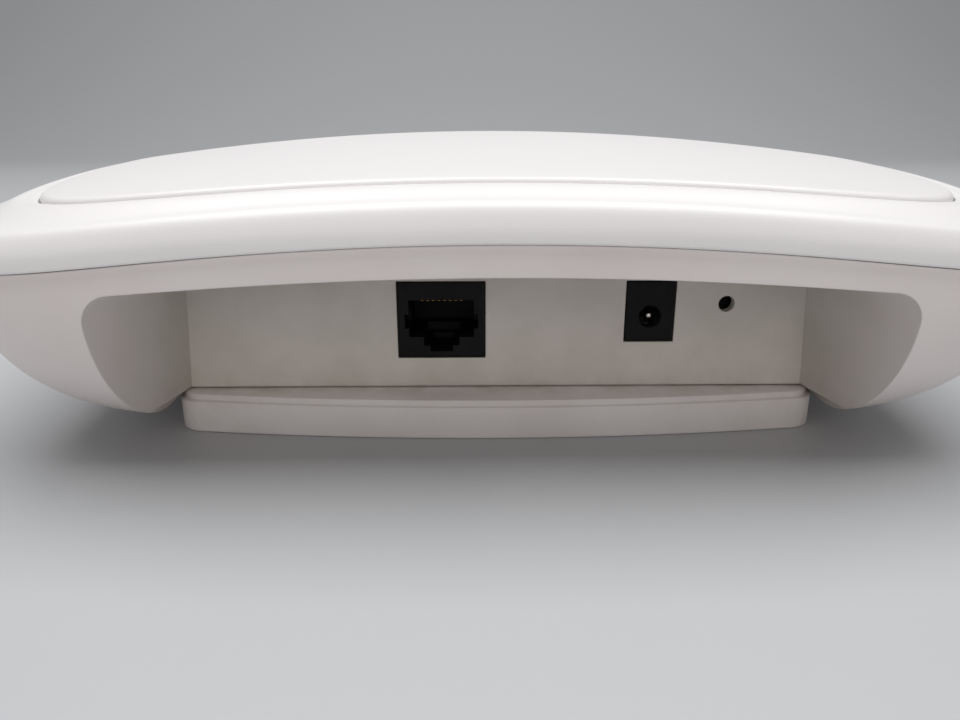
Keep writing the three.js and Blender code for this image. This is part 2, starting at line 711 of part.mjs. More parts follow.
corners(stud).forEach(([x, y], i) => {
  accessPoint.add(part(`mounting_stud_${i + 1}`, mountingStud(), look.zincSteel, [x, y, 0]));
});
corners(caseScrew).forEach(([x, y], i) => {
  const solid = screw(2.9, 2, 1.5, 14);
  accessPoint.add(part(`case_screw_${i + 1}`, solid, look.zincSteel, [x, y, caseScrew.seat - gap]));
});
corners(boardScrew).forEach(([x, y], i) => {
  const solid = screw(2.6, 1.6, 1.2, 8);
  const seat = board.bottom + board.thickness + gap;
  electronics.add(part(`board_screw_${i + 1}`, solid, look.zincSteel, [x, y, seat], [Math.PI, 0, 0]));
});

export default ceilingAccessPoint;
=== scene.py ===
import math

import bpy
import numpy as np
from mathutils import Matrix, Vector


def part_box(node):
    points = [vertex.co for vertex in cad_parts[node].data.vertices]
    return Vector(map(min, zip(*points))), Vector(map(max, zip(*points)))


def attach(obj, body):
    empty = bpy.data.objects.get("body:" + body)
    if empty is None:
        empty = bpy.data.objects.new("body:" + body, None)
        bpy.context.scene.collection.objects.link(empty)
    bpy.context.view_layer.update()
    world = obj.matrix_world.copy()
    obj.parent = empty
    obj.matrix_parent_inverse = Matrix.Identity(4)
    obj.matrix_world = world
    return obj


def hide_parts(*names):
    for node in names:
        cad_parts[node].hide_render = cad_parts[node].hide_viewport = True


# Ceiling access point lying on its slide-on bracket, seen from its cable recess.
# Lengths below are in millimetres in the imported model's own frame; makeMesh turns them into metres.
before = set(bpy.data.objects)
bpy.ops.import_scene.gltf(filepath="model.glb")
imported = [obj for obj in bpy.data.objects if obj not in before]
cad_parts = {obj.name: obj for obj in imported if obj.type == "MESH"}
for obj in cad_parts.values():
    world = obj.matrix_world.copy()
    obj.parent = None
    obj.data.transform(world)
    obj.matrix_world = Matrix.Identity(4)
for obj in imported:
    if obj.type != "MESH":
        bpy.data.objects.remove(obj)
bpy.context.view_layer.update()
mm = 0.001
print("frame loaded:", len(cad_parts), "nodes")


def nodeBox(name):
    low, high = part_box(name)
    return np.array(low) / mm, np.array(high) / mm


# Mesh helpers.
def makeMesh(name, points, faces, smoothAngle=38):
    mesh = bpy.data.meshes.new(name)
    mesh.from_pydata((np.asarray(points, float) * mm).tolist(), [], [list(map(int, f)) for f in faces])
    mesh.validate()
    obj = bpy.data.objects.new(name, mesh)
    bpy.context.scene.collection.objects.link(obj)
    softenShading(obj, smoothAngle)
    return obj


def softenShading(obj, smoothAngle):
    mesh = obj.data
    mesh.polygons.foreach_set("use_smooth", np.ones(len(mesh.polygons), bool))
    mesh.set_sharp_from_angle(angle=math.radians(smoothAngle))


# Loops run anticlockwise seen from above and are listed upwards on the outside.
def skinLoops(name, loops, closed=False, smoothAngle=38):
    count = len(loops[0])
    points = np.vstack(loops)
    rows = len(loops) if closed else len(loops) - 1
    faces = []
    for row in range(rows):
        below, above = row * count, ((row + 1) % len(loops)) * count
        for i in range(count):
            j = (i + 1) % count
            faces.append([below + i, below + j, above + j, above + i])
    if not closed:
        for start, upward in ((0, False), ((len(loops) - 1) * count, True)):
            middle = len(points)
            points = np.vstack([points, points[start:start + count].mean(0)])
            for i in range(count):
                a, b = start + i, start + (i + 1) % count
                faces.append([middle, a, b] if upward else [middle, b, a])
    return makeMesh(name, points, faces, smoothAngle)


def boxMesh(name, low, high):
    (x0, y0, z0), (x1, y1, z1) = low, high
    ring = [(x0, y0), (x1, y0), (x1, y1), (x0, y1)]
    return skinLoops(name, [np.array([(x, y, z) for x, y in ring], float) for z in (z0, z1)])


# A round solid from (radius, along) pairs; along Z, or along Y for what lies down.
def turned(name, profile, place, lying=False, sides=48):
    angles = np.linspace(0, 2 * math.pi, sides, endpoint=False)
    loops = []
    for radius, along in profile:
        x, z = radius * np.cos(angles), radius * np.sin(angles)
        flat = np.full(sides, along)
        loops.append(np.column_stack([x, flat, -z] if lying else [x, z, flat]) + np.array(place))
    return skinLoops(name, loops, smoothAngle=32)


# Joins or cuts with one of Blender's boolean modifiers, applied at once, and drops the tool.
def carve(target, tool, operation="DIFFERENCE", smoothAngle=38):
    modifier = target.modifiers.new("carve", "BOOLEAN")
    modifier.object = tool
    modifier.operation = operation
    modifier.solver = "MANIFOLD"
    applyModifiers(target)
    bpy.data.objects.remove(tool)
    softenShading(target, smoothAngle)
    return target


def applyModifiers(obj):
    bpy.context.view_layer.update()
    graph = bpy.context.evaluated_depsgraph_get()
    mesh = bpy.data.meshes.new_from_object(obj.evaluated_get(graph))
    obj.modifiers.clear()
    old = obj.data
    obj.data = mesh
    bpy.data.meshes.remove(old)
    mesh.name = obj.name


def roundEdges(obj, width, segments=3, angle=40):
    bevel = obj.modifiers.new("edge_round", "BEVEL")
    bevel.width = width * mm
    bevel.segments = segments
    bevel.limit_method = "ANGLE"
    bevel.angle_limit = math.radians(angle)
    bevel.use_clamp_overlap = True
    return obj


def smoothCurve(points, steps):
    # Catmull-Rom through the points
    points = np.asarray(points, float)
    ends = np.vstack([2 * points[0] - points[1], points, 2 * points[-1] - points[-2]])
    made = []
    for i in range(len(points) - 1):
        a, b, c, d = ends[i:i + 4]
        for t in np.linspace(0, 1, steps, endpoint=False):
            made.append(0.5 * (2 * b + (c - a) * t + (2 * a - 5 * b + 4 * c - d) * t * t
                               + (3 * b - a - 3 * c + d) * t ** 3))
    return np.array(made + [points[-1]])


# Outline of the body, a rounded square.
shellShape = {
    "power": 6.8,          # superellipse power of the outline
    "eighthSteps": 44,     # points on an eighth of the outline
    "arch": 9.9e-4,        # how fast a rim falls away from the middle of a side
    "domeRate": 8.7e-4,    # how fast the dome falls away from its middle
    "seam": 38.0,          # height of the seam at the middle of a side
    "wall": 2.2,
}
bodyHalf = nodeBox("top_cover")[1][0]
domeTop = nodeBox("front_panel")[1][2]
bowlBottom = 5.35


def unitOutline(steps):
    power = shellShape["power"]
    share = np.linspace(0, 1, steps + 1)
    along = 2 ** (-1 / power) * (1 - (1 - share) ** 1.6)
    across = (1 - along ** power) ** (1 / power)
    eighth = np.column_stack([across, along])
    quarter = np.vstack([eighth, eighth[1:-1][::-1, ::-1]])
    return np.vstack([quarter @ np.array([[c, s], [-s, c]]) for c, s in ((1, 0), (0, 1), (-1, 0), (0, -1))])


outline = unitOutline(shellShape["eighthSteps"])


# A loop whose height is crown - fall * (distance from the middle) squared.
def fallingLoop(half, crown, fall):
    xy = outline * half
    return np.column_stack([xy, crown - fall * (xy ** 2).sum(1)])


def rimKey(half, height):
    return half, height + shellShape["arch"] * half ** 2, shellShape["arch"]


def domeKey(half, offset):
    return half, domeTop + offset, shellShape["domeRate"]


# Front panel: a thin domed disc let into the cover.
panelShape = {"half": 79.0, "thickness": 2.0, "edgeRadius": 0.75, "roundSteps": 8, "topSteps": 34}


def frontPanel():
    half, radius = panelShape["half"], panelShape["edgeRadius"]
    shares = np.linspace(1, 0.015, panelShape["topSteps"])
    under = [fallingLoop(*domeKey(s * (half - 0.2), -panelShape["thickness"])) for s in shares[::-1]]
    turns = np.linspace(0, math.pi / 2, panelShape["roundSteps"])
    edge = [fallingLoop(*domeKey(half - radius + radius * math.cos(a), radius * (math.sin(a) - 1)))
            for a in turns]
    top = [fallingLoop(*domeKey(s * (half - radius), 0)) for s in shares[1:]]
    low = [fallingLoop(*domeKey(half, 0.2 - panelShape["thickness"]))]
    return skinLoops("front_panel_moulding", under + low + edge + top)


# Top cover: the frame from the seam over its soft shoulder to the panel.
coverShape = {"steps": 7, "ledgeHalf": 58.0, "gap": 0.3, "troughDepth": 0.45}


def topCover():
    seam, wall = shellShape["seam"], shellShape["wall"]
    panelSide = panelShape["half"] + coverShape["gap"]
    ledge = -panelShape["thickness"] - coverShape["gap"]
    keys = [
        rimKey(bodyHalf - 0.35, seam + 0.15),
        rimKey(bodyHalf - 0.08, seam + 0.26),
        rimKey(bodyHalf, seam + 0.7),
        rimKey(bodyHalf - 0.32, seam + 2.6),
        rimKey(bodyHalf - 1.35, seam + 4.75),
        rimKey(bodyHalf - 2.4, seam + 5.72),
        rimKey(bodyHalf - 4.3, seam + 6.3),
        domeKey(panelShape["half"] + 3.4, -coverShape["troughDepth"] * 0.6),
        domeKey(panelShape["half"] + 1.7, -coverShape["troughDepth"]),
        domeKey(panelShape["half"] + 0.8, -coverShape["troughDepth"] - 0.15),
        domeKey(panelSide, -coverShape["troughDepth"] - 0.6),
    ]
    outside = [fallingLoop(*key) for key in smoothCurve(keys, coverShape["steps"])]
    inside = [
        domeKey(panelSide, ledge),
        domeKey(coverShape["ledgeHalf"], ledge),
        domeKey(coverShape["ledgeHalf"], ledge - wall),
        domeKey(panelSide + 0.2, ledge - wall),
        rimKey(bodyHalf - wall - 0.6, seam + 2.9),
        rimKey(bodyHalf - wall - 0.6, seam + 0.15),
    ]
    return skinLoops("top_cover_moulding", outside + [fallingLoop(*key) for key in inside], closed=True)


print("shell profiles ready")

# Base shell: bowl, cable recess, bracket pocket.
baseShape = {
    "floorHalf": 68.9, "rimHalf": 89.3, "outPower": 1.68, "upPower": 2.28, "bowlSteps": 36,
    "portWallY": -60.7, "portWallThickness": 2.0, "portHalf": 55.8, "flare": 0.185, "cornerRadius": 5.0,
    "draft": 0.06, "draftMiddle": 17.0,
    "ceiling": 33.45, "ceilingRate": 7.86e-4, "recessFront": -96.0,
    "pocketHalf": 59.3, "pocketRear": 58.6, "pocketTop": 7.47,
    "wellRadius": 3.3, "wellSeat": 24.0, "pillarRadius": 4.7, "pillarTop": 34.0,
    "screwHoleRadius": 1.8, "postRadius": 3.5, "tapRadius": 1.55, "tapDepth": 9.0, "boardGap": 0.3,
    "bossRadius": 3.5, "bossTop": 14.0, "studHoleRadius": 1.8, "studHoleDepth": 6.0,
    "pinholeRadius": 1.45, "windowGap": 0.12,
}


def bowlLoops(inset, floor):
    b = baseShape
    rim = shellShape["seam"] + 0.05 + shellShape["arch"] * bodyHalf ** 2 * (1 - (outline ** 2).sum(1))
    loops = []
    for angle in np.linspace(0, math.pi / 2, b["bowlSteps"] + 1):
        out = math.sin(angle) ** (2 / b["outPower"])
        up = 1 - max(math.cos(angle), 0) ** (2 / b["upPower"])
        half = b["floorHalf"] + (b["rimHalf"] - b["floorHalf"]) * out - inset
        loops.append(np.column_stack([outline * half, floor + (rim - floor) * up]))
    return loops


def recessSolid(name, grow):
    b = baseShape
    radius = b["cornerRadius"] + grow
    loops = []
    for y in np.linspace(b["portWallY"] + grow, b["recessFront"], 9):
        half = b["portHalf"] + b["flare"] * (b["portWallY"] - y) + grow
        top = b["ceiling"] + grow

        def ceiling(x):
            return top - b["ceilingRate"] * x ** 2

        angles = np.linspace(0, math.pi / 2, 12, endpoint=False)
        centre = ceiling(half - radius) - radius
        corner = [(half - radius + radius * math.cos(a), centre + radius * math.sin(a)) for a in angles]
        roof = [(x, ceiling(x)) for x in np.linspace(half - radius, radius - half, 33)]
        section = [(-half, -1), (half, -1)] + corner + roof + [(-x, z) for x, z in corner[::-1]]
        spread = [1 + b["draft"] * (b["draftMiddle"] - z) / half for _, z in section]
        loops.append(np.array([(x * wider, y, z) for (x, z), wider in zip(section, spread)]))
    return skinLoops(name, loops)


def screwPlaces(name):
    return [nodeBox(f"{name}_{i}") for i in range(1, 5)]


def baseShell():
    b, wall = baseShape, shellShape["wall"]
    inner = bowlLoops(wall, bowlBottom + wall)[::-1]
    shell = skinLoops("base_shell_moulding", bowlLoops(0, bowlBottom) + inner)
    filling = recessSolid("filling", b["portWallThickness"])
    floor = boxMesh("floor", (-b["pocketHalf"] - wall, b["recessFront"], 0),
                    (b["pocketHalf"] + wall, b["pocketRear"] + wall, b["pocketTop"] + wall))
    carve(filling, floor, "UNION")
    carve(filling, skinLoops("inside", bowlLoops(wall / 2, bowlBottom + wall / 2)), "INTERSECT")
    carve(shell, filling, "UNION")
    carve(shell, recessSolid("recess", 0))
    carve(shell, boxMesh("pocket", (-b["pocketHalf"], b["recessFront"], -1),
                         (b["pocketHalf"], b["pocketRear"], b["pocketTop"])))
    for low, high in screwPlaces("case_screw"):
        x, y = (low[:2] + high[:2]) / 2
        top = b["pillarTop"]
        pillar = [(b["pillarRadius"], bowlBottom + 1), (b["pillarRadius"], top)]
        carve(shell, turned("pillar", pillar, (x, y, 0)), "UNION")
        carve(shell, turned("well", [(b["wellRadius"], 0), (b["wellRadius"], b["wellSeat"])], (x, y, 0)))
        hole = [(b["screwHoleRadius"], b["wellSeat"] - 1), (b["screwHoleRadius"], top + 1)]
        carve(shell, turned("screw_hole", hole, (x, y, 0), sides=24))
    for low, high in screwPlaces("board_screw"):
        x, y = (low[:2] + high[:2]) / 2
        seat = nodeBox("circuit_board")[0][2] - b["boardGap"]
        post = [(b["postRadius"], b["pocketTop"] + 1), (b["postRadius"], seat)]
        carve(shell, turned("standoff", post, (x, y, 0)), "UNION")
        tap = [(b["tapRadius"], seat - b["tapDepth"]), (b["tapRadius"], seat + 1)]
        carve(shell, turned("tap_hole", tap, (x, y, 0), sides=24))
    for low, high in screwPlaces("mounting_stud"):
        x, y = (low[:2] + high[:2]) / 2
        under, holeRadius = b["pocketTop"], b["studHoleRadius"]
        boss = [(b["bossRadius"], under + 1), (b["bossRadius"], b["bossTop"])]
        carve(shell, turned("boss", boss, (x, y, 0)), "UNION")
        hole = [(holeRadius, under - 1), (holeRadius, under + b["studHoleDepth"])]
        carve(shell, turned("stud_hole", hole, (x, y, 0), sides=24))
    for jack in ("ethernet_jack_housing", "power_jack_housing"):
        low, high = nodeBox(jack)
        gap = b["windowGap"]
        carve(shell, boxMesh("window", (low[0] - gap, b["portWallY"] - 2, low[2] - gap),
                             (high[0] + gap, b["portWallY"] + 4, high[2] + gap)))
    low, high = nodeBox("reset_button")
    x, z = (low[0] + high[0]) / 2, (low[2] + high[2]) / 2
    pinhole = [(b["pinholeRadius"], b["portWallY"] - 2.3), (b["pinholeRadius"], b["portWallY"] + 3.7)]
    carve(shell, turned("pinhole", pinhole, (x, 0, z), lying=True))
    return shell


# A box with rounded upright edges.
def roundedBox(name, low, high, radius, steps=5):
    ring = []
    for cx, cy, start in ((high[0] - radius, high[1] - radius, 0), (low[0] + radius, high[1] - radius, 1),
                          (low[0] + radius, low[1] + radius, 2), (high[0] - radius, low[1] + radius, 3)):
        for angle in np.linspace(0, math.pi / 2, steps):
            turn = angle + start * math.pi / 2
            ring.append((cx + radius * math.cos(turn), cy + radius * math.sin(turn)))
    return skinLoops(name, [np.array([(x, y, z) for x, y in ring]) for z in (low[2], high[2])])


# Mounting bracket.
bracketShape = {
    "halfWidth": 58.7, "front": -68.3, "rear": 50.0, "height": 7.17, "plate": 2.2, "skirt": 2.4, "bow": 3.9,
    "frontRadius": 5.0, "rearRadius": 8.0, "stepHeight": 6.0, "stepInset": 0.6,
    "slide": 8, "headHole": 4.6, "neckHole": 2.6, "padX": 40, "padYs": (-52, 36), "ribHalf": 0.9,
    "padHalf": (8.5, 7), "slotRadius": 2.2, "headSlotRadius": 3.7, "headSlotSeat": 3.2, "slotReach": 2.5,
}


def bracketLoop(inset, z):
    b = bracketShape
    half = b["halfWidth"] - inset
    corner = b["front"] + b["bow"] + inset
    rear = b["rear"] - inset
    frontHalf = half - b["frontRadius"]

    def arc(cx, cy, radius, start):
        angles = start + np.linspace(0, math.pi / 2, 14)
        return [(cx + radius * math.cos(a), cy + radius * math.sin(a)) for a in angles]

    bowed = [(x, corner - b["bow"] * (1 - (x / frontHalf) ** 2))
             for x in np.linspace(-frontHalf, frontHalf, 42)[1:-1]]
    points = (arc(-frontHalf, corner + b["frontRadius"], b["frontRadius"], math.pi) + bowed
              + arc(frontHalf, corner + b["frontRadius"], b["frontRadius"], -math.pi / 2)
              + arc(half - b["rearRadius"], rear - b["rearRadius"], b["rearRadius"], 0)
              + arc(b["rearRadius"] - half, rear - b["rearRadius"], b["rearRadius"], math.pi / 2))
    return np.array([(x, y, z) for x, y in points])


def mountingBracket():
    b = bracketShape
    foot = [(0.45 * (1 - math.sin(a)), 0.45 * (1 - math.cos(a))) for a in np.linspace(0, math.pi / 2, 5)]
    step, inset, top = b["stepHeight"], b["stepInset"], b["height"]
    upper = [(0, step - 0.3), (0.09, step - 0.09), (0.3, step), (inset - 0.12, step + 0.02),
             (inset, step + 0.14), (inset, top - 0.35), (inset + 0.1, top - 0.1), (inset + 0.35, top)]
    plateBottom = top - b["plate"]
    plate = skinLoops("mounting_bracket_moulding", [bracketLoop(i, z) for i, z in foot + upper])
    carve(plate, skinLoops("hollow", [bracketLoop(b["skirt"], -1), bracketLoop(b["skirt"], plateBottom)]))
    middle = (b["front"] + b["rear"]) / 2
    ribTop, ribHalf, reach = plateBottom + 0.5, b["ribHalf"], b["halfWidth"] - 1
    acrossRib = boxMesh("rib", (-reach, middle - ribHalf, 0), (reach, middle + ribHalf, ribTop))
    alongRib = boxMesh("rib", (-ribHalf, b["front"] + 1, 0), (ribHalf, b["rear"] - 1, ribTop))
    carve(plate, acrossRib, "UNION")
    carve(plate, alongRib, "UNION")
    for x in (-b["padX"], b["padX"]):
        for y in b["padYs"]:
            across, along = b["padHalf"]
            pad = roundedBox("pad", (x - across, y - along, 0), (x + across, y + along, top - 1), 1.2)
            carve(plate, pad, "UNION")
            carve(plate, slotCutter(x, y, b["slotRadius"], -1, top + 1))
            carve(plate, slotCutter(x, y, b["headSlotRadius"], b["headSlotSeat"], top + 1))
    for studLow, studHigh in screwPlaces("mounting_stud"):
        x, y = (studLow[:2] + studHigh[:2]) / 2
        low, high = plateBottom - 0.6, top + 1
        hole = turned("keyhole", [(b["headHole"], low), (b["headHole"], high)], (x, y - b["slide"], 0))
        narrow = roundedBox("narrow", (x - b["neckHole"], y - b["slide"], low),
                            (x + b["neckHole"], y + b["neckHole"], high), b["neckHole"] - 0.02, steps=12)
        carve(hole, narrow, "UNION")
        carve(plate, hole)
    return plate


def slotCutter(x, y, radius, low, high):
    angles = np.linspace(-math.pi / 2, math.pi / 2, 15)
    reach = bracketShape["slotReach"]
    right = [(x + reach + radius * math.cos(a), y + radius * math.sin(a)) for a in angles]
    left = [(x - reach - radius * math.cos(a), y - radius * math.sin(a)) for a in angles]
    return skinLoops("slot", [np.array([(px, py, z) for px, py in right + left]) for z in (low, high)])


# Ports.
portShape = {
    "faceRound": 0.18, "plugDrop": 3.3, "plugHeight": 6.8,
    "boreDrop": 6.5, "boreRadius": 1.9, "boreDepth": 10.5, "mouth": 0.3, "leafHalf": 1.3, "leafDrop": 3.3,
    "pinRadius": 0.6, "flangeRadius": 1.6, "flangeDepth": 0.8,
}


def ethernetJack():
    low, high = nodeBox("ethernet_jack_housing")
    x = (low[0] + high[0]) / 2
    front, top = low[1], high[2]
    shell = roundedAlongY("ethernet_jack_moulding", low, high, portShape["faceRound"])
    spaceTop = top - portShape["plugDrop"]
    bottom = spaceTop - portShape["plugHeight"]
    spaces = (  # half-width, bottom, top and rear end: plug body, its shoulders, latch, latch tip
        (5.85, bottom, spaceTop, front + 14),
        (6.6, bottom + 1.6, bottom + 4.2, front + 6),
        (3.2, bottom - 1.6, bottom + 0.5, front + 11),
        (2.05, bottom - 2.7, bottom + 0.5, front + 9),
    )
    for half, z0, z1, end in spaces:
        carve(shell, boxMesh("space", (x - half, front - 1, z0), (x + half, end, z1)), smoothAngle=25)
    return shell


# A block along Y whose front face has a small rounded edge.
def roundedAlongY(name, low, high, radius, steps=4):
    corner = 0.25
    loops = []
    angles = np.linspace(0, math.pi / 2, steps)
    depths = [(radius * (1 - math.sin(a)), low[1] + radius * (1 - math.cos(a))) for a in angles]
    for inset, y in [(0, high[1])] + sorted(depths, key=lambda pair: -pair[1]):
        x0, x1, z0, z1 = low[0] + inset, high[0] - inset, low[2] + inset, high[2] - inset
        ring = []
        for cx, cz, start in ((x1 - corner, z1 - corner, 0), (x0 + corner, z1 - corner, 1),
                              (x0 + corner, z0 + corner, 2), (x1 - corner, z0 + corner, 3)):
            for angle in np.linspace(0, math.pi / 2, 4):
                turn = angle + start * math.pi / 2
                ring.append((cx + corner * math.cos(turn), y, cz + corner * math.sin(turn)))
        loops.append(np.array(ring))
    return skinLoops(name, loops, smoothAngle=50)


def powerJack():
    low, high = nodeBox("power_jack_housing")
    x, front, z = (low[0] + high[0]) / 2, low[1], high[2] - portShape["boreDrop"]
    shell = roundedAlongY("power_jack_moulding", low, high, portShape["faceRound"])
    bore, mouth, deep = portShape["boreRadius"], portShape["mouth"], front + portShape["boreDepth"]
    lead = [(bore + mouth, front - 1), (bore + mouth, front + 0.02),
            (bore + mouth * 0.3, front + mouth * 0.4), (bore, front + mouth), (bore, deep)]
    carve(shell, turned("bore", lead, (x, 0, z), lying=True), smoothAngle=25)
    leafHalf, leafLow = portShape["leafHalf"], z - portShape["leafDrop"]
    leafSlot = boxMesh("leaf_slot", (x - leafHalf, front + 2.5, leafLow), (x + leafHalf, deep, z))
    carve(shell, leafSlot, smoothAngle=25)
    return shell


def powerPin():
    low, high = nodeBox("power_jack_pin")
    x, z = (low[0] + high[0]) / 2, (low[2] + high[2]) / 2
    tip, end = low[1], high[1]
    radius, flangeRadius = portShape["pinRadius"], portShape["flangeRadius"]
    start = end - portShape["flangeDepth"]
    dome = [(radius * math.sin(a), tip + 0.45 * (1 - math.cos(a))) for a in np.linspace(0.05, math.pi / 2, 9)]
    flange = [(radius + 0.02, start), (flangeRadius - 0.1, start), (flangeRadius, start + 0.1),
              (flangeRadius, end - 0.1), (flangeRadius - 0.1, end)]
    return turned("power_jack_pin_turned", dome + flange, (x, 0, z), lying=True)


print("building the mouldings")
panel, cover, base, bracketPlate = frontPanel(), topCover(), baseShell(), mountingBracket()
ethernetShell, powerShell, pin = ethernetJack(), powerJack(), powerPin()
for piece, body, node in (
    (panel, "access_point", "front_panel"), (cover, "access_point", "top_cover"),
    (base, "access_point", "base_shell"), (bracketPlate, "bracket", "mounting_bracket"),
    (ethernetShell, "access_point", "ethernet_jack_housing"),
    (powerShell, "access_point", "power_jack_housing"),
    (pin, "access_point", "power_jack_pin"),
):
    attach(piece, body)
    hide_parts(node)
print("mouldings built:", len(base.data.polygons), "faces in the base shell")


# Materials.
def linear(hexColour, alpha=1.0):
    channels = [int(hexColour[i:i + 2], 16) / 255 for i in (1, 3, 5)]
    return [c / 12.92 if c <= 0.04045 else ((c + 0.055) / 1.055) ** 2.4 for c in channels] + [alpha]


# Adds one node with its settings, its unlinked values and its links.
def addNode(tree, kind, settings=None, values=None, links=None):
    node = tree.nodes.new(kind)
    for key, value in (settings or {}).items():
        setattr(node, key, value)
    for key, value in (values or {}).items():
        node.inputs[key].default_value = value
    for key, source in (links or {}).items():
        tree.links.new(source, node.inputs[key])
    return node


def newMaterial(name):
    material = bpy.data.materials.new(name)
    material.use_nodes = True
    tree = material.node_tree
    tree.nodes.clear()
    place = addNode(tree, "ShaderNodeTexCoord").outputs["Object"]
    return material, tree, place


def finishMaterial(tree, shader):
    addNode(tree, "ShaderNodeOutputMaterial", links={"Surface": shader.outputs["BSDF"]})


# Scale of a noise whose features are that many millimetres across.
def perMetre(size):
    return 1 / (size * mm)


def rampBetween(tree, factor, low, high, outLow, outHigh):
    limits = {"From Min": low, "From Max": high, "To Min": outLow, "To Max": outHigh}
    ramp = addNode(tree, "ShaderNodeMapRange", {"clamp": True}, limits, {"Value": factor})
    return ramp.outputs["Result"]


def mixColour(tree, factor, first, second, blend="MIX"):
    node = addNode(tree, "ShaderNodeMix", {"data_type": "RGBA", "blend_type": blend})
    if isinstance(factor, float):
        node.inputs[0].default_value = factor
    else:
        tree.links.new(factor, node.inputs[0])
    for socket, value in ((6, first), (7, second)):
        if isinstance(value, (list, tuple)):
            node.inputs[socket].default_value = value
        else:
            tree.links.new(value, node.inputs[socket])
    return node.outputs[2]


# Injection-moulded plastic: a fine spark-eroded grain, uneven gloss, faint cloudiness and a few
# specks of dust.
def mouldedPlastic(name, look):
    material, tree, place = newMaterial(name)
    cloud = addNode(tree, "ShaderNodeTexNoise", {}, {"Scale": perMetre(look["cloud"]), "Detail": 3.0},
                    {"Vector": place}).outputs["Fac"]
    grainShape = {"Scale": perMetre(look["grain"]), "Detail": 2.0, "Roughness": 0.6}
    grain = addNode(tree, "ShaderNodeTexNoise", {}, grainShape, {"Vector": place}).outputs["Fac"]
    colour = mixColour(tree, rampBetween(tree, cloud, 0.35, 0.65, 0.0, 1.0),
                       linear(look["colour"]), linear(look["colourDeep"]))
    if look.get("specks"):
        cells = addNode(tree, "ShaderNodeTexVoronoi", {"feature": "F1"},
                        {"Scale": perMetre(look["speckSpacing"])}, {"Vector": place})
        parts = addNode(tree, "ShaderNodeSeparateColor", links={"Color": cells.outputs["Color"]})
        pick = parts.outputs["Red"]
        rare = rampBetween(tree, pick, 1 - look["specks"], 1 - look["specks"] + 0.01, 0.0, 1.0)
        size = look["speckSize"] / look["speckSpacing"]
        dot = rampBetween(tree, cells.outputs["Distance"], size * 0.6, size, 1.0, 0.0)
        mark = addNode(tree, "ShaderNodeMath", {"operation": "MULTIPLY"}, links={0: rare, 1: dot}).outputs[0]
        colour = mixColour(tree, mark, colour, linear(look["speckColour"]))
    # Painted shade: each entry multiplies a darker tint into the colour where its position mask is strong.
    for paintedShade in look.get("paintedShade", []):
        colour = mixColour(tree, paintedShadeStrength(tree, place, paintedShade), colour, linear(paintedShade["colour"]), "MULTIPLY")
    roughness = rampBetween(tree, cloud, 0.3, 0.7, look["roughness"] - 0.03, look["roughness"] + 0.04)
    rounding = addNode(tree, "ShaderNodeBevel", {"samples": 4}, {"Radius": look.get("edge", 0.15) * mm})
    relief = {"Strength": look["bump"], "Distance": look["grain"] * 0.12 * mm}
    bump = addNode(tree, "ShaderNodeBump", {}, relief,
                   {"Height": grain, "Normal": rounding.outputs["Normal"]})
    shader = addNode(tree, "ShaderNodeBsdfPrincipled", {}, {"IOR": look.get("ior", 1.53)},
                     {"Base Color": colour, "Roughness": roughness, "Normal": bump.outputs["Normal"]})
    if look.get("glow"):
        shader.inputs["Subsurface Weight"].default_value = look["glow"]
        shader.inputs["Subsurface Radius"].default_value = (1.2 * mm, 1.0 * mm, 0.8 * mm)
        shader.inputs["Subsurface Scale"].default_value = 1.0
    finishMaterial(tree, shader)
    return material


# How strongly painted shade shows: on each axis full at the near place and none at the far one,
# broken up by noise.
def paintedShadeStrength(tree, place, paintedShade):
    axes = addNode(tree, "ShaderNodeSeparateXYZ", links={"Vector": place})
    strength = None
    for axis, near, far in paintedShade["fades"]:
        ramp = rampBetween(tree, axes.outputs[axis], near * mm, far * mm, 1.0, 0.0)
        strength = ramp if strength is None else addNode(
            tree, "ShaderNodeMath", {"operation": "MULTIPLY"}, links={0: strength, 1: ramp}).outputs[0]
    patchShape = {"Scale": perMetre(paintedShade["patch"]), "Detail": 5.0, "Roughness": 0.65}
    patches = addNode(tree, "ShaderNodeTexNoise", {}, patchShape, {"Vector": place}).outputs["Fac"]
    broken = rampBetween(tree, patches, paintedShade.get("from", 0.35), paintedShade.get("to", 0.7), 0.0, paintedShade["strength"])
    both = addNode(tree, "ShaderNodeMath", {"operation": "MULTIPLY"}, links={0: strength, 1: broken})
    return both.outputs[0]


# Metal, rolled, plated or turned: brushed or mottled roughness over one metal colour.
def finishedMetal(name, look):
    material, tree, place = newMaterial(name)
    stretch = addNode(tree, "ShaderNodeMapping", {}, {"Scale": look.get("stretch", (1, 1, 1))},
                      {"Vector": place})
    streaks = addNode(tree, "ShaderNodeTexNoise", {}, {"Scale": perMetre(look["grain"]), "Detail": 4.0},
                      {"Vector": stretch.outputs["Vector"]}).outputs["Fac"]
    colour = mixColour(tree, rampBetween(tree, streaks, 0.3, 0.7, 0.0, 1.0),
                       linear(look["colour"]), linear(look["colourDeep"]))
    roughness = rampBetween(tree, streaks, 0.3, 0.7, look["roughness"] - 0.06, look["roughness"] + 0.08)
    relief = {"Strength": look["bump"], "Distance": look["grain"] * 0.1 * mm}
    bump = addNode(tree, "ShaderNodeBump", {}, relief, {"Height": streaks})
    shader = addNode(tree, "ShaderNodeBsdfPrincipled", {}, {"Metallic": 1.0},
                     {"Base Color": colour, "Roughness": roughness, "Normal": bump.outputs["Normal"]})
    finishMaterial(tree, shader)
    return material
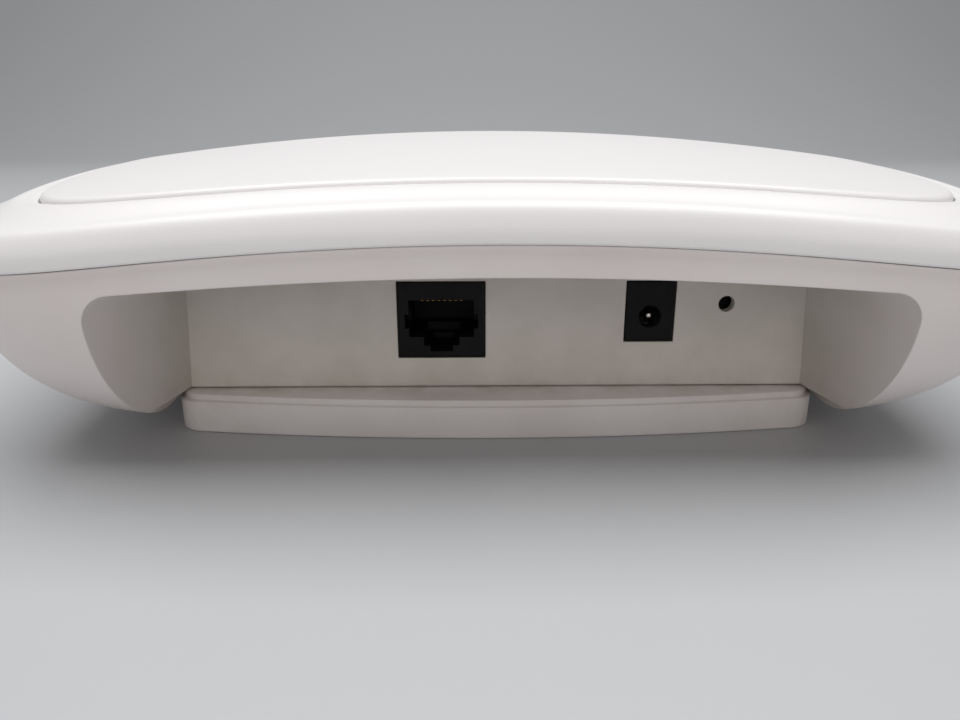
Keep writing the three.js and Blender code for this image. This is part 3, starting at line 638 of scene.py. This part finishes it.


# White ABS moulded in a fine-textured tool: satin, slightly warm, with a soft sheen rather than a gloss; its
# colour is painted a touch darker than the cover's, as painted shade on the bowl.
shellPlastic = mouldedPlastic("white_abs_moulded", {
    "colour": "#ebe4e2", "colourDeep": "#e5dddb", "cloud": 28.0, "grain": 0.35,
    "roughness": 0.42, "bump": 0.25,
    "specks": 0.05, "speckSpacing": 9.0, "speckSize": 0.16, "speckColour": "#8a8074", "edge": 0.3,
    "paintedShade": [
        # Painted shade: a strong greenish-grey darkening over the walls of the cable recess.
        {"fades": [("Y", -66.0, -84.0), ("Y", -57.0, -50.0), ("X", 62.0, 72.0), ("X", -62.0, -72.0),
                   ("Z", 30.0, 36.0)],
         "patch": 14.0, "from": -0.4, "to": 1.3, "strength": 0.9, "colour": "#c6c8b6"},
        # Painted shade: a lighter warm darkening low down at the front of the base, along the recess floor.
        {"fades": [("Z", 7.4, 11.0), ("Y", -57.0, -50.0)], "patch": 4.0, "strength": 0.3,
         "colour": "#cfc3b4"},
    ],
})
# The cover and panel: the same ABS painted a touch lighter than the base's, as painted light on the lit top,
# and a touch glossier than the base.
coverPlastic = mouldedPlastic("white_abs_polished_painted_lighter", {
    "colour": "#f1efee", "colourDeep": "#edebea", "cloud": 40.0, "grain": 0.4,
    "roughness": 0.36, "bump": 0.15,
    "specks": 0.015, "speckSpacing": 12.0, "speckSize": 0.12, "speckColour": "#a9a39a", "edge": 0.2,
})
# The bracket's moulding has lain in dust: the same ABS with warm specks on its ledge, and painted shade
# darkening it where it runs back under the shell.
bracketPlastic = mouldedPlastic("white_abs_dusty_painted_shade", {
    "colour": "#e8e4e2", "colourDeep": "#e0dbd8", "cloud": 18.0, "grain": 0.35,
    "roughness": 0.45, "bump": 0.25,
    "specks": 0.16, "speckSpacing": 5.0, "speckSize": 0.2, "speckColour": "#7d6e5a", "edge": 0.2,
    # Painted shade: darker from the front of the ledge back into the recess.
    "paintedShade": [{"fades": [("Y", -60.0, -66.5)], "patch": 6.0, "strength": 0.6, "colour": "#c9bda9"}],
})
# Glass-filled nylon of the sockets: near black, dull, with a mineral grain.
jackPlastic = mouldedPlastic("black_nylon_moulded", {
    "colour": "#0a0a0b", "colourDeep": "#070708", "cloud": 6.0, "grain": 0.12, "roughness": 0.6, "bump": 0.3,
    "specks": 0.1, "speckSpacing": 2.5, "speckSize": 0.07, "speckColour": "#3a3835", "edge": 0.08, "ior": 1.3,
})
# Epoxy of the chips: charcoal, matt, pressed in a sand-blasted tool.
chipEpoxy = mouldedPlastic("black_epoxy_moulded", {
    "colour": "#222224", "colourDeep": "#1b1b1d", "cloud": 4.0, "grain": 0.1,
    "roughness": 0.6, "bump": 0.5, "edge": 0.06,
})
# Shrunk PVC sleeve of the capacitors and the coil: dark, smooth and a little shiny.
sleevePlastic = mouldedPlastic("dark_pvc_shrunk", {
    "colour": "#262833", "colourDeep": "#1f2129", "cloud": 8.0, "grain": 0.5,
    "roughness": 0.35, "bump": 0.1, "edge": 0.1,
})
# Glass-fibre laminate under green solder mask: a weave shows faintly through the lacquer.
laminate = mouldedPlastic("green_laminate_lacquered", {
    "colour": "#1f6038", "colourDeep": "#174b2b", "cloud": 3.0, "grain": 0.5,
    "roughness": 0.38, "bump": 0.3, "edge": 0.08,
})
tinPlate = finishedMetal("tinned_steel_drawn", {  # dull silver with rolling streaks
    "colour": "#cfcdc8", "colourDeep": "#b9b8b4", "grain": 0.6, "stretch": (1, 6, 6),
    "roughness": 0.34, "bump": 0.15})
nickelPin = finishedMetal("nickel_plated_brass_turned", {  # bright, catches one small highlight
    "colour": "#e4e1da", "colourDeep": "#d3cfc6", "grain": 0.15, "stretch": (1, 0.2, 1),
    "roughness": 0.16, "bump": 0.05})
contactGold = finishedMetal("gold_plated_wire", {  # warm, smooth
    "colour": "#dcb35c", "colourDeep": "#c79c45", "grain": 0.2, "roughness": 0.24, "bump": 0.05})
finAluminium = finishedMetal("aluminium_extruded", {  # pale grey with lines along the fins
    "colour": "#b9bbbd", "colourDeep": "#a5a7aa", "grain": 0.5, "stretch": (6, 1, 6),
    "roughness": 0.42, "bump": 0.25})
zincSteel = finishedMetal("zinc_plated_steel_rolled", {  # cool grey, slightly mottled
    "colour": "#b3b7bb", "colourDeep": "#9da1a6", "grain": 0.25, "roughness": 0.33, "bump": 0.12})


# Clear acrylic of the light guide, cast and polished: colourless, with faint flow lines.
def clearAcrylic():
    material, tree, place = newMaterial("clear_acrylic_moulded")
    flow = addNode(tree, "ShaderNodeTexNoise", {}, {"Scale": perMetre(1.5), "Detail": 2.0},
                   {"Vector": place}).outputs["Fac"]
    bump = addNode(tree, "ShaderNodeBump", {}, {"Strength": 0.1, "Distance": 0.02 * mm}, {"Height": flow})
    colour = mixColour(tree, flow, linear("#eef3f5"), linear("#e2eaee"))
    shader = addNode(tree, "ShaderNodeBsdfPrincipled", {}, {"IOR": 1.49, "Transmission Weight": 0.9},
                     {"Base Color": colour, "Normal": bump.outputs["Normal"],
                      "Roughness": rampBetween(tree, flow, 0.3, 0.7, 0.05, 0.12)})
    finishMaterial(tree, shader)
    return material


acrylic = clearAcrylic()
for piece, material, slotName in (
    (panel, coverPlastic, "panel_white"), (cover, coverPlastic, "white_shell"),
    (base, shellPlastic, "white_shell"),
    (bracketPlate, bracketPlastic, "white_shell"), (ethernetShell, jackPlastic, "black_jack"),
    (powerShell, jackPlastic, "black_jack"), (pin, nickelPin, "tinned_steel"),
):
    piece.data.materials.clear()
    piece.data.materials.append(material)
print("materials ready")


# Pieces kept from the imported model: faces that meet at a shallow angle are shaded as one surface.
def smoothGroup():
    group = bpy.data.node_groups.new("smooth_shallow_angles", "GeometryNodeTree")
    group.interface.new_socket("Geometry", in_out="INPUT", socket_type="NodeSocketGeometry")
    group.interface.new_socket("Geometry", in_out="OUTPUT", socket_type="NodeSocketGeometry")
    start = addNode(group, "NodeGroupInput")
    bare = addNode(group, "GeometryNodeRemoveAttribute", {}, {"Name": "custom_normal"},
                   {"Geometry": start.outputs[0]})
    faces = addNode(group, "GeometryNodeSetShadeSmooth", {"domain": "FACE"}, {"Shade Smooth": True},
                    {"Geometry": bare.outputs[0]})
    angle = addNode(group, "GeometryNodeInputMeshEdgeAngle")
    sharp = addNode(group, "FunctionNodeCompare", {"data_type": "FLOAT", "operation": "GREATER_THAN"},
                    {1: math.radians(32)}, {0: angle.outputs["Unsigned Angle"]})
    edges = addNode(group, "GeometryNodeSetShadeSmooth", {"domain": "EDGE"}, {"Shade Smooth": False},
                    {"Geometry": faces.outputs[0], "Selection": sharp.outputs[0]})
    addNode(group, "NodeGroupOutput", links={"Geometry": edges.outputs[0]})
    return group


keptFinish = {  # first words of a node's name: its material, edge rounding
    "circuit_board": (laminate, 0.1), "ethernet_contact": (contactGold, 0.06),
    "ethernet_transformer": (chipEpoxy, 0.15),
    "power_jack_spring": (tinPlate, 0.05), "power_inductor": (sleevePlastic, 0.3),
    "processor_chip": (chipEpoxy, 0.15),
    "memory_chip": (chipEpoxy, 0.08), "flash_chip": (chipEpoxy, 0.08), "heatsink": (finAluminium, 0.15),
    "radio_shield": (tinPlate, 0.18), "status_led": (acrylic, 0.1), "light_pipe": (acrylic, 0.1),
    "electrolytic_capacitor": (sleevePlastic, 0.1), "antenna": (tinPlate, 0.08),
    "case_screw": (zincSteel, 0.1),
    "board_screw": (zincSteel, 0.1), "mounting_stud": (zincSteel, 0.15),
    "reset_switch_housing": (chipEpoxy, 0.12), "reset_button": (jackPlastic, 0.12),
}
smoothing = smoothGroup()
for name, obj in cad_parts.items():
    if obj.hide_render:
        continue
    material, radius = next(finish for words, finish in keptFinish.items() if name.startswith(words))
    weld = obj.modifiers.new("weld", "WELD")
    weld.merge_threshold = 0.002 * mm
    roundEdges(obj, radius, segments=2, angle=32)
    smoothModifier = obj.modifiers.new("smooth", "NODES")
    smoothModifier.node_group = smoothing
    if obj.material_slots:
        obj.material_slots[0].material = material
    else:
        obj.data.materials.append(material)
print("kept pieces finished")

# Stage, light and camera.
stageLook = {"floor": "#b9bbbd", "sweepStart": 0.9, "sweepRadius": 0.8, "half": 3.0}


def studioFloor():
    start, radius, half = stageLook["sweepStart"], stageLook["sweepRadius"], stageLook["half"]
    track = [(-2.0, 0.0), (start, 0.0)]
    bends = np.linspace(0, math.pi / 2, 24)[1:]
    track += [(start + radius * math.sin(a), radius * (1 - math.cos(a))) for a in bends]
    track += [(start + radius, 3.0)]
    points = [(x, y, z) for y, z in track for x in (-half, half)]
    faces = [(2 * i, 2 * i + 1, 2 * i + 3, 2 * i + 2) for i in range(len(track) - 1)]
    floor = makeMesh("studio_floor", np.array(points) / mm, faces, 60)
    material, tree, place = newMaterial("pale_paint_rolled")
    stipple = addNode(tree, "ShaderNodeTexNoise", {}, {"Scale": perMetre(2.0), "Detail": 3.0},
                      {"Vector": place}).outputs["Fac"]
    bump = addNode(tree, "ShaderNodeBump", {}, {"Strength": 0.05, "Distance": 0.05 * mm}, {"Height": stipple})
    shader = addNode(tree, "ShaderNodeBsdfPrincipled", {},
                     {"Base Color": linear(stageLook["floor"]), "Roughness": 0.45},
                     {"Normal": bump.outputs["Normal"]})
    finishMaterial(tree, shader)
    floor.data.materials.append(material)


def softLight(name, place, target, size, power, colour):
    lamp = bpy.data.lights.new(name, "AREA")
    lamp.shape = "RECTANGLE"
    lamp.size, lamp.size_y = size
    lamp.energy = power
    lamp.color = linear(colour)[:3]
    obj = bpy.data.objects.new(name, lamp)
    obj.location = place
    obj.rotation_euler = (Vector(target) - Vector(place)).to_track_quat("-Z", "Y").to_euler()
    bpy.context.scene.collection.objects.link(obj)


cameraPlace = {
    "at": (-4.572, -191.093, 54.328), "pitch": 0.3109, "yaw": 0.0109, "roll": -0.0015,
    "lens": 28.0, "sensor": 36.0,
}


def placeCamera():
    pitch, yaw = cameraPlace["pitch"], cameraPlace["yaw"]
    ahead = Vector((math.sin(yaw) * math.cos(pitch), math.cos(yaw) * math.cos(pitch), -math.sin(pitch)))
    level = Vector((math.cos(yaw), -math.sin(yaw), 0))
    upright = level.cross(ahead)
    right = level * math.cos(cameraPlace["roll"]) + upright * math.sin(cameraPlace["roll"])
    above = right.cross(ahead)
    data = bpy.data.cameras.new("camera")
    data.lens, data.sensor_width, data.clip_start = cameraPlace["lens"], cameraPlace["sensor"], 0.01
    camera = bpy.data.objects.new("camera", data)
    camera.matrix_world = Matrix.Translation(Vector(cameraPlace["at"]) * mm) @ Matrix(
        (right, above, -ahead)).transposed().to_4x4()
    bpy.context.scene.collection.objects.link(camera)
    bpy.context.scene.camera = camera


studioFloor()
softLight("overhead_light", (0.0, 0.05, 1.3), (0, 0, 0), (1.6, 1.4), 22.5, "#ffffff")
softLight("front_fill", (0.05, -1.6, 0.6), (0, 0, 0.02), (0.9, 0.7), 4.0, "#fff6f2")
world = bpy.data.worlds.new("studio_air")
world.use_nodes = True
background = world.node_tree.nodes["Background"]
background.inputs["Color"].default_value = linear("#f4f4f6")
background.inputs["Strength"].default_value = 0.25
bpy.context.scene.world = world
bpy.context.scene.view_settings.view_transform = "Standard"
placeCamera()
print("stage, light and camera ready")
